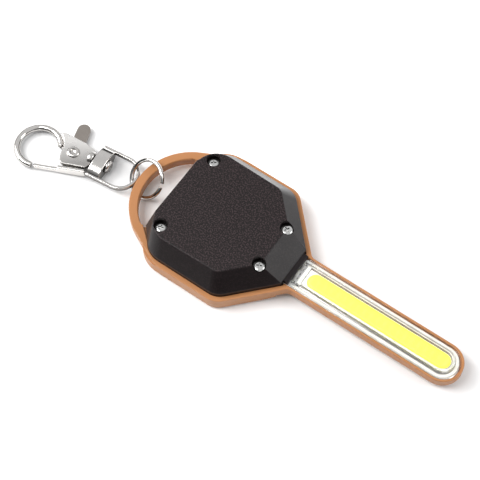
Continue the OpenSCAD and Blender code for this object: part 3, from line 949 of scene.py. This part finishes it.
class FLASHLIGHT_OT_cover(Operator):
    """Models the textured front cover with its plateau, slopes, neck and counterbores"""

    bl_idname = "flashlight.cover"
    bl_label = "Front cover"

    def form(self, name, inset, wall_down, lip_z, top_z):
        """The cover's outer form, or its hollow when drawn in."""
        plan = head_plan(1.35 + inset, 1.25 + inset, -5.3 + inset, 31.2 - inset)
        form = prism(name, plan, wall_down, lip_z)
        rise(top_z - lip_z)
        reshape(plateau_plan(inset * 0.8), top_z)
        return form

    def execute(self, context):
        s = context.scene.flashlight_cover
        rim = context.scene.flashlight_case.rim / MM
        lip, wall, ridge, sunk = rim + s.lip / MM, s.wall / MM, s.ridge / MM, s.counterbore / MM
        top = COVER_HI.z
        cover = self.form("cover", 0, COVER_LO.z, lip, top)
        bevel_sharp(16, ridge, 4, lambda e: min(v.co.z for v in e.verts) > (lip + 0.3) * MM)
        bevel_sharp(16, 0.12, 3, lambda e: max(v.co.z for v in e.verts) < (lip + 0.3) * MM
                    and min(v.co.z for v in e.verts) > (rim - 0.3) * MM)
        # Short lip over the end of the lens
        band = block("neck_band", (31.4, 0, rim + 0.75), (2.2, 9.1, 1.3))
        edit(band)
        pick("EDGE", lambda e: all(v.co.x > 32.4 * MM and v.co.z > (rim + 1) * MM for v in e.verts))
        bpy.ops.transform.translate(value=(0, 0, -0.35 * MM))
        bevel_sharp(30, 0.18, 3, lambda e: all(v.co.z > (rim + 0.5) * MM for v in e.verts))
        select_none()
        combine(cover, band, "UNION")
        hollow = self.form("hollow", wall, COVER_LO.z - 1, lip - wall, top - wall)
        select_none()
        for x, y in SCREWS:
            combine(hollow, drum("boss", (x, y, 8), 2.7, 3.9, 32))
        combine(cover, hollow)
        combine(cover, block("lead_way", (30.5, 0, 3.5), (7, 9.3, 0.95)))
        for x, y in SCREWS:
            sink = turned("counterbore", [
                (0, SCREW_FLOOR), (sunk, SCREW_FLOOR), (sunk, top - 0.12), (sunk + 0.08, top),
                (sunk + 0.2, top + 1.5), (0, top + 1.5)], (x, y, 0), 40)
            select_none()
            combine(cover, sink)
            combine(cover, drum("screw_hole", (x, y, 7), 1.1, 4, 24))
        finish = spark_eroded("Cover plastic", s.tint, top)
        finish_piece(cover, "flashlight", finish, ["front_cover"], angle=30)
        return {"FINISHED"}


class FLASHLIGHT_OT_screws(Operator):
    """Models one cover screw and copies it to the four counterbores"""

    bl_idname = "flashlight.screws"
    bl_label = "Cover screws"

    def execute(self, context):
        seat = SCREW_FLOOR + 0.02
        profile = [(0, 2.02), (0.6, 2.05), (0.95, 2.5), (0.95, seat), (1.5, seat), (1.5, seat + 0.38),
                   (1.42, seat + 0.58), (1.2, seat + 0.72), (0.8, seat + 0.79), (0, seat + 0.8)]
        screw = turned("screw_1", profile, (0, 0, 0), 40)
        select_none()
        for turn in (0, 90):
            arm = block("cross", (0, 0, seat + 0.72), (1.75, 0.42, 0.8))
            edit(arm)
            pick("FACE", lambda f: f.normal.z < -0.9)
            bpy.ops.transform.resize(value=(0.55, 0.5, 1))
            place(arm, turn)
            combine(screw, arm)
        finish = plated("Screw plating", (0.72, 0.72, 0.71), 0.14)
        copies = [screw]
        for i in range(2, 5):
            copy = screw.copy()
            copy.data = screw.data.copy()
            copy.name = copy.data.name = f"screw_{i}"
            context.collection.objects.link(copy)
            copies.append(copy)
        for copy, (x, y), turn in zip(copies, SCREWS, (38, 12, 64, 25)):
            place(copy, turn, (x, y, 0))
            finish_piece(copy, "flashlight", finish, ["cover_screws"])
        return {"FINISHED"}


class FLASHLIGHT_OT_lamp(Operator):
    """Models the lens, the phosphor strip and the contact strip under the lens's end"""

    bl_idname = "flashlight.lamp"
    bl_label = "Lamp"

    def execute(self, context):
        s = context.scene.flashlight_lamp
        window = s.window / MM
        flange_top = LENS_HI.z - 1.05
        half = LENS_HI.y
        lens = prism("lens", strip_plan(LENS_LO.x, LENS_ARC_X, half), LENS_LO.z, flange_top - 0.12)
        round_cap(1, 0.12, 2)
        pick_cap(1)
        step(half - window - 0.45 - 0.12, 0)
        for inset, height in ((0.05, 0.55), (0.12, 0.2), (0.1, 0.13), (0.12, 0.1), (0.16, 0.06)):
            step(inset, height)
        select_none()
        pocket = prism("pocket", strip_plan(LENS_LO.x + 2.2, LENS_ARC_X - 0.1, STRIP_HI.y + 0.3),
                       LENS_LO.z - 1, LENS_HI.z - 0.55)
        round_cap(1, 0.25, 3)
        select_none()
        combine(lens, pocket)
        combine(lens, block("contact_room", (LENS_LO.x, 0, LENS_LO.z), (2, 5.2, 0.9)))
        finish_piece(lens, "flashlight", clear_plastic(), ["lens"], angle=28)

        outline = [(37.8, 0, STRIP_HI.y, 90, 270, 20), (LENS_ARC_X, 0, STRIP_HI.y, -90, 90, 20)]
        strip = prism("phosphor_bead", outline, STRIP_LO.z, STRIP_HI.z - 0.7)
        round_cap(1, 0.7, 6)
        pick_cap(1)
        step(0.6, 0.05)
        select_none()
        finish_piece(strip, "flashlight", phosphor(s.strip), ["phosphor_strip"], angle=40)

        # Tinned contact strip with a row of through holes
        tab_x, pitch, holes = 33.6, 1.4, 5
        tab = block("contact_strip", (tab_x, 0, BOARD_HI.z + 0.06), (1.0, 7.2, 0.1))
        for i in range(holes):
            hole_y = pitch * (i - (holes - 1) / 2)
            combine(tab, drum("via", (tab_x, hole_y, BOARD_HI.z), 0.22, 1, 16))
        edit(tab)
        bevel_sharp(60, 0.03, 1)
        select_none()
        finish_piece(tab, "flashlight", tinned("Tinned contact", (0.5, 0.5, 0.5), pitch), ())
        return {"FINISHED"}


class FLASHLIGHT_OT_button(Operator):
    """Models the rubber button in the back, with a dished face and a ring of grip"""

    bl_idname = "flashlight.button"
    bl_label = "Back button"

    def execute(self, context):
        low = BUTTON_LO.z
        profile = [(0, low + 0.22), (2.6, low + 0.16), (3.0, low + 0.05), (3.2, low), (3.4, low),
                   (3.6, low + 0.05), (3.75, low + 0.14), (4.55, low + 0.12), (4.8, low + 0.2),
                   (4.95, low + 0.4), (5, low + 0.6), (5, 1.23), (5.85, 1.23), (5.9, 1.28), (5.9, 1.62),
                   (5.85, 1.67), (1.5, 1.67), (1.4, 1.7), (1.4, BUTTON_HI.z), (0, BUTTON_HI.z)]
        button = turned("button_rubber", profile, (STACK_X, 0, 0), 64)
        select_none()
        finish_piece(button, "push_button", rubber("Button rubber", (0.022, 0.023, 0.024)), ["back_button"])
        return {"FINISHED"}


def wire_profile(name, at, radius, steps=20):
    """A disc of wire standing in the XZ plane, ready to be spun or extruded, in edit mode."""
    select_none()
    bpy.ops.mesh.primitive_circle_add(vertices=steps, radius=radius * MM, fill_type="NGON",
                                      location=Vector(at) * MM, rotation=(math.pi / 2, 0, 0))
    obj = bpy.context.object
    obj.name = obj.data.name = name
    bpy.ops.object.transform_apply(location=True, rotation=True, scale=True)
    bpy.ops.object.mode_set(mode="EDIT")
    bpy.ops.mesh.select_all(action="SELECT")
    return obj


def sweep(centre, degrees, steps):
    """Spins the selected section about a vertical axis."""
    bpy.ops.mesh.spin(steps=steps, angle=-math.radians(degrees), center=Vector(centre) * MM, axis=(0, 0, 1))


def extrude(x, y, z):
    bpy.ops.mesh.extrude_region_move(TRANSFORM_OT_translate={"value": Vector((x, y, z)) * MM})


def tidy_normals():
    bpy.ops.mesh.select_all(action="SELECT")
    bpy.ops.mesh.remove_doubles(threshold=0.0005 * MM)
    bpy.ops.mesh.normals_make_consistent(inside=False)


class FLASHLIGHT_OT_ring(Operator):
    """Models the open ring of round wire through the loop"""

    bl_idname = "flashlight.ring"
    bl_label = "Ring"

    def execute(self, context):
        s = context.scene.flashlight_clasp
        wire, radius = s.ring_wire / MM, s.ring / MM
        ring = wire_profile("ring_wire", (radius, 0, 0), wire)
        sweep((0, 0, 0), 348, 116)
        tidy_normals()
        bevel_sharp(60, 0.1, 3)
        # The cut ends sit a little out of line, one above the other
        for side, shift in ((1, 0.26), (-1, -0.26)):
            middle = math.radians(6 + side * 6.2)
            pick("VERT", lambda v: abs(math.atan2(v.co.y, v.co.x) - middle) < 0.02)
            bpy.ops.transform.translate(value=(0, 0, shift * MM), use_proportional_edit=True,
                                        proportional_edit_falloff="SMOOTH", proportional_size=3 * MM,
                                        use_proportional_connected=True)
        place(ring, RING_GAP_TURN)
        place(ring, RING_TURN, RING_AT, RING_TILT)
        finish = plated("Ring nickel", shade(s.plating, 0.95), 0.08)
        finish_piece(ring, "ring", finish, ["jump_ring"], angle=40, weighted=False)
        return {"FINISHED"}


class FLASHLIGHT_OT_bail(Operator):
    """Models the swivel bail: a bent strap and the barrel that the stem turns in"""

    bl_idname = "flashlight.bail"
    bl_label = "Swivel bail"

    def execute(self, context):
        s = context.scene.flashlight_clasp
        half, reach, thick, high, strap_end = 5.0, 5.8, 0.85, 1.4, 1.8
        middle = half - thick / 2
        select_none()
        bpy.ops.mesh.primitive_plane_add(size=MM, location=(-strap_end * MM, middle * MM, 0),
                                         rotation=(0, math.pi / 2, 0))
        strap = bpy.context.object
        strap.name = strap.data.name = "bail"
        strap.scale = (high, thick, 1)
        bpy.ops.object.transform_apply(location=True, rotation=True, scale=True)
        bpy.ops.object.mode_set(mode="EDIT")
        bpy.ops.mesh.select_all(action="SELECT")
        bpy.ops.mesh.bevel(offset=0.3 * MM, segments=4, affect="VERTICES")
        bpy.ops.mesh.select_all(action="SELECT")
        extrude(0.9, 0, 0)
        extrude(reach - 0.9 + strap_end, 0, 0)
        sweep((reach, 0, 0), -180, 36)
        extrude(-(reach - 0.9 + strap_end), 0, 0)
        extrude(-0.9, 0, 0)
        tidy_normals()
        bevel_sharp(60, 0.15, 2)
        barrel_high, barrel_wide = 2.1, 4.6
        barrel = drum("barrel", (0, 0, 0), barrel_high, 2 * strap_end, 72, "X")
        edit(barrel)
        bpy.ops.mesh.select_all(action="SELECT")
        bpy.ops.transform.resize(value=(1, barrel_wide / barrel_high, 1), center_override=(0, 0, 0))
        bevel_sharp(60, 0.3, 4)
        combine(strap, barrel, "UNION")
        combine(strap, drum("bore", (0, 0, 0), 1.11, 8, 36, "X"))
        place(strap, SWIVEL_TURN, SWIVEL_AT)
        finish = plated("Bail nickel", s.plating, 0.1)
        finish_piece(strap, "bail", finish, ["swivel_bail"], angle=34)
        return {"FINISHED"}


def level(edge):
    """Whether an edge lies flat."""
    return abs(edge.verts[0].co.z - edge.verts[1].co.z) < 1e-6


def pick_face_near(place_mm):
    """Selects the face whose middle is nearest to a place."""
    goal = place_mm * MM
    mesh = bmesh.from_edit_mesh(bpy.context.edit_object.data)
    reach = min((f.calc_center_median() - goal).length for f in mesh.faces)
    pick("FACE", lambda f: (f.calc_center_median() - goal).length < reach + 1e-7)


class FLASHLIGHT_OT_hook(Operator):
    """Models the hook: bow, neck, cheek plate, and the swivel stem with its peened head"""

    bl_idname = "flashlight.hook"
    bl_label = "Hook"

    def execute(self, context):
        s = context.scene.flashlight_clasp
        wire, radius = s.bow_wire / MM, s.bow / MM
        neck_angle = 16
        # Round wire of the bow, from its free end round to the neck
        hook = wire_profile("hook", (radius, 0, 0), wire, 24)
        sweep((0, 0, 0), 254, 80)
        tidy_normals()
        bevel_sharp(60, 0.25, 3)
        place(hook, neck_angle, BOW_AT)
        # The neck leaves the bow, flattens and rises into the plate
        edit(hook)
        a = math.radians(neck_angle)
        pick_face_near(BOW_AT + Vector((radius * math.cos(a), radius * math.sin(a), 0)))
        for move, flatten in (((0.35, -0.5, 0.3), 0.85), ((0.6, -0.35, 0.45), 0.62), ((0.7, 0, 0.1), 0.8)):
            extrude(*move)
            bpy.ops.transform.resize(value=(1, 1, flatten))
        tidy_normals()
        plate = prism("plate", [
            (BOW_AT.x, BOW_AT.y, 6.55, -8, 43, 24), (-4.05, 4.72, 0.4, 130, 78, 4), corner(2, 3.7),
            (4.5, 1.6, 1.0, 72, 0, 6), (4.6, -1.7, 0.8, 0, -48, 5), (3.9, -2.6, 0.9, -48, -80, 3),
            (-1.6, -2.8, 1.2, 270, 188, 8)], PLATE_UNDER, PLATE_TOP)
        bevel_sharp(60, 0.3, 5, lambda e: level(e) and e.verts[0].co.z > 3 * MM)
        bevel_sharp(60, 0.12, 2, lambda e: level(e) and e.verts[0].co.z < 3 * MM)
        select_none()
        combine(hook, plate, "UNION")
        combine(hook, drum("rivet_hole", (0, 0, 2.7), 0.83, 4, 36))
        place(hook, HOOK_TURN, RIVET_AT)
        stem = turned("stem", [
            (0, -3.7), (1.5, -3.7), (1.85, -3.5), (2.0, -3.1), (1.95, -2.7), (1.7, -2.25), (1.5, -2.1),
            (1.05, -2.06), (1.05, 1.95), (1.72, 1.95), (1.75, 2.15), (1.6, 2.45), (1.2, 2.68), (0.8, 2.74),
            (0.55, 2.62), (0, 2.6)], (0, 0, 0), 40)
        place(stem, SWIVEL_TURN, SWIVEL_AT, 90)
        combine(hook, stem, "UNION")
        finish = hook_plating("Hook nickel", s.plating)
        finish_piece(hook, "hook", finish, ["hook_body"], angle=36)

        rivet = turned("rivet", [
            (0, 0.22), (1.15, 0.22), (1.35, 0.35), (1.5, 0.8), (0.8, 0.8), (0.8, 3.22), (1.7, 3.22),
            (1.7, 3.34), (1.58, 3.54), (1.32, 3.68), (1.05, 3.72), (0.86, 3.68), (0.72, 3.5), (0.6, 3.2),
            (0.3, 3.06), (0, 3.02)],
            RIVET_AT, 44)
        select_none()
        finish_piece(rivet, "hook", plated("Rivet nickel", shade(s.plating, 0.9), 0.16), ["gate_rivet"],
                     angle=36)
        return {"FINISHED"}


class FLASHLIGHT_OT_gate(Operator):
    """Models the gate lever: thumb tab, cheek, and the folded bar that closes the bow"""

    bl_idname = "flashlight.gate"
    bl_label = "Gate lever"

    def execute(self, context):
        s = context.scene.flashlight_clasp
        lever = prism("gate", [
            (-0.1, 7.9, 1.75, 180, 0, 20), (0.65, 3.4, 1.0, 0, -25, 3), (2.4, -0.9, 1.0, 25, 0, 3),
            (2.6, -3.3, 0.8, 0, -80, 5), (-0.9, -4.1, 0.9, 262, 190, 5), corner(-2, 0)], 0.9, 1.9)
        bevel_sharp(60, 0.2, 4, level)
        select_none()
        # The gate bar and the flange fold up from the lever's near side, on one line
        for name, along, size, low, high in (("bar", 6.8, 13.6, 0.8, 2.1), ("flange", 10.0, 7.2, 0.62, 3.18)):
            bar = block(name, (along, 0, (low + high) / 2), (size, 0.9, high - low))
            edit(bar)
            bevel_sharp(60, 0.24, 4)
            place(bar, 6.3, (-8.95, -5.85, 0))
            combine(lever, bar, "UNION")
        combine(lever, drum("rivet_hole", (0, 0, 1.4), 0.85, 4, 36))
        place(lever, HOOK_TURN, RIVET_AT)
        finish = pressed_lever("Gate metal", s.plating, s.tab)
        finish_piece(lever, "gate", finish, ["gate_lever"], angle=36)
        return {"FINISHED"}


class FLASHLIGHT_OT_inside(Operator):
    """Gives the lamp board and the pieces inside the case their finishes"""

    bl_idname = "flashlight.inside"
    bl_label = "Pieces inside"

    def execute(self, context):
        lamp = context.scene.flashlight_lamp
        clasp = context.scene.flashlight_clasp
        board = solder_mask("White board", lamp.board, 0.97)
        green = solder_mask("Green board", (0.012, 0.11, 0.04), 1.5)
        cell = brushed("Cell steel", (0.62, 0.63, 0.64), 0.28)
        grey = moulded("Grey nylon", (0.05, 0.05, 0.053), 2.0, 0.5, 0.02)
        chip = moulded("Chip moulding", (0.02, 0.02, 0.021), 6.0, 0.45, 0.01)
        nickel = plated("Contact nickel", shade(clasp.plating, 0.85), 0.2)
        finishes = {
            "cob_board": board, "circuit_board": green, "lower_cell": cell, "upper_cell": cell,
            "cell_holder": grey, "button_retainer": grey, "switch_body": chip, "driver_chip": chip,
            "positive_clip": nickel, "negative_spring": nickel, "gate_spring": nickel,
            "solder_tabs": plated("Solder", (0.62, 0.61, 0.58), 0.3),
            "lens_tape": rubber("Foam tape", (0.62, 0.60, 0.55)),
            "lead_red": rubber("Red insulation", (0.45, 0.01, 0.01)),
            "lead_black": rubber("Black insulation", (0.012, 0.012, 0.012)),
            "resistors": rubber("Fired resistor", (0.05, 0.035, 0.025)),
            "switch_plunger": moulded("Plunger moulding", (0.28, 0.012, 0.01), 2.0, 0.4, 0.01),
        }
        for node, finish in finishes.items():
            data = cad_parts[node].data
            data.materials.clear()
            data.materials.append(finish)
        return {"FINISHED"}


# ---------------------------------------------------------------- stage


def softbox(name, place_mm, target_mm, size_mm, power):
    light = bpy.data.lights.new(name, "AREA")
    light.shape = "RECTANGLE"
    light.size, light.size_y = (v * MM for v in size_mm)
    light.energy = power
    obj = bpy.data.objects.new(name, light)
    bpy.context.scene.collection.objects.link(obj)
    obj.location = Vector(place_mm) * MM
    obj.rotation_mode = "QUATERNION"
    obj.rotation_quaternion = (Vector(target_mm) - Vector(place_mm)).to_track_quat("-Z", "Y")
    return obj


def surroundings():
    """A pale studio: bright overhead, darker towards the horizon, plain white where it is seen directly."""
    world = bpy.data.worlds.new("Studio")
    bpy.context.scene.world = world
    world.use_nodes = True
    tree = world.node_tree
    tree.nodes.clear()
    parts = axes(tree, add(tree, "ShaderNodeTexCoord").outputs["Generated"])
    tones = add(tree, "ShaderNodeValToRGB")
    tree.links.new(parts["Z"], tones.inputs[0])
    stops = tones.color_ramp.elements
    stops[0].position, stops[0].color = 0.0, (0.9, 0.9, 0.9, 1)
    stops[1].position, stops[1].color = 1.0, (0.7, 0.7, 0.7, 1)
    for position, tone in ROOM_TONES:
        stop = stops.new(position)
        stop.color = (tone, tone, tone * 1.01, 1)
    # Darker on the camera's side
    near = add(tree, "ShaderNodeMapRange", in_1=-0.75, in_2=-0.3, in_3=0.25, in_4=1.0)
    tree.links.new(parts["Y"], near.inputs[0])
    toned = add(tree, "ShaderNodeMix", data_type="RGBA", blend_type="MULTIPLY")
    toned.inputs[0].default_value = 1
    tree.links.new(tones.outputs[0], toned.inputs[6])
    tree.links.new(near.outputs[0], toned.inputs[7])
    room = add(tree, "ShaderNodeBackground", in_Strength=1.0)
    tree.links.new(toned.outputs[2], room.inputs["Color"])
    seen = add(tree, "ShaderNodeBackground", in_Strength=1.0, in_Color=(1, 1, 1, 1))
    path = add(tree, "ShaderNodeLightPath")
    mix_shaders(tree, path.outputs["Is Camera Ray"], room, seen, add(tree, "ShaderNodeOutputWorld"))


class FLASHLIGHT_OT_stage(Operator):
    """Sets up the pale floor, with painted light glowing on its far side, the soft lights and the camera"""

    bl_idname = "flashlight.stage"
    bl_label = "Stage"

    def execute(self, context):
        s = context.scene.flashlight_stage
        select_none()
        bpy.ops.mesh.primitive_grid_add(x_subdivisions=8, y_subdivisions=8, size=4, location=(0, 0, 0))
        floor = context.object
        floor.name = "floor"
        finish, tree, shader = blank("Floor paper", Specular_IOR_Level=0.1, Roughness=0.9,
                                     Emission_Color=(1, 1, 1, 1))
        tone = noise(tree, object_space(tree), 0.02, 2)
        drive(shader, Base_Color=blend_colour(tree, tone, shade(s.floor, 0.995), s.floor))
        # Painted light: the floor glows by emission on its far side, a pool of light that no lamp casts.
        parts = axes(tree)
        painted_light_patch = times(tree, ramp(tree, parts["Y"], 17, 34), ramp(tree, parts["X"], 30, 12))
        drive(shader, Emission_Strength=times(tree, painted_light_patch, s.painted_floor_light))
        floor.data.materials.append(finish)
        surroundings()
        for name, place_mm, size_mm, share in SOFTBOXES:
            softbox(name, place_mm, LIT_AT, size_mm, s.key * share)
        camera = bpy.data.objects.new("camera", bpy.data.cameras.new("camera"))
        context.scene.collection.objects.link(camera)
        context.scene.camera = camera
        camera.data.sensor_width = 36
        camera.data.lens = CAMERA_LENS
        camera.data.clip_start, camera.data.clip_end = 0.01, 10
        camera.location = (CAMERA_AIM - CAMERA_ALONG * CAMERA_DISTANCE) * MM
        camera.rotation_mode = "QUATERNION"
        camera.rotation_quaternion = CAMERA_ALONG.to_track_quat("-Z", "Y")
        context.scene.view_settings.view_transform = "Standard"
        return {"FINISHED"}


# ---------------------------------------------------------------- panel and registration


PIECES = (
    FLASHLIGHT_OT_case, FLASHLIGHT_OT_cover, FLASHLIGHT_OT_screws, FLASHLIGHT_OT_lamp, FLASHLIGHT_OT_button,
    FLASHLIGHT_OT_ring, FLASHLIGHT_OT_bail, FLASHLIGHT_OT_hook, FLASHLIGHT_OT_gate, FLASHLIGHT_OT_inside,
    FLASHLIGHT_OT_stage,
)


class FLASHLIGHT_PT_panel(Panel):
    """Lists the flashlight's pieces and their sizes"""

    bl_idname = "FLASHLIGHT_PT_panel"
    bl_label = "Flashlight"
    bl_space_type = "VIEW_3D"
    bl_region_type = "UI"
    bl_category = "Flashlight"

    def draw(self, context):
        for attribute, settings in SETTINGS.items():
            box = self.layout.box()
            for key in settings.__annotations__:
                box.prop(getattr(context.scene, attribute), key)
        for piece in PIECES:
            self.layout.operator(piece.bl_idname)


def register():
    for settings in SETTINGS.values():
        bpy.utils.register_class(settings)
    for attribute, settings in SETTINGS.items():
        setattr(bpy.types.Scene, attribute, PointerProperty(type=settings))
    for cls in PIECES + (FLASHLIGHT_PT_panel,):
        bpy.utils.register_class(cls)


def unregister():
    for cls in reversed(PIECES + (FLASHLIGHT_PT_panel,)):
        bpy.utils.unregister_class(cls)
    for attribute, settings in SETTINGS.items():
        delattr(bpy.types.Scene, attribute)
        bpy.utils.unregister_class(settings)


def main():
    register()
    for piece in PIECES:
        family, call = piece.bl_idname.split(".")
        getattr(getattr(bpy.ops, family), call)()
        select_none()


if __name__ == "__main__":
    main()
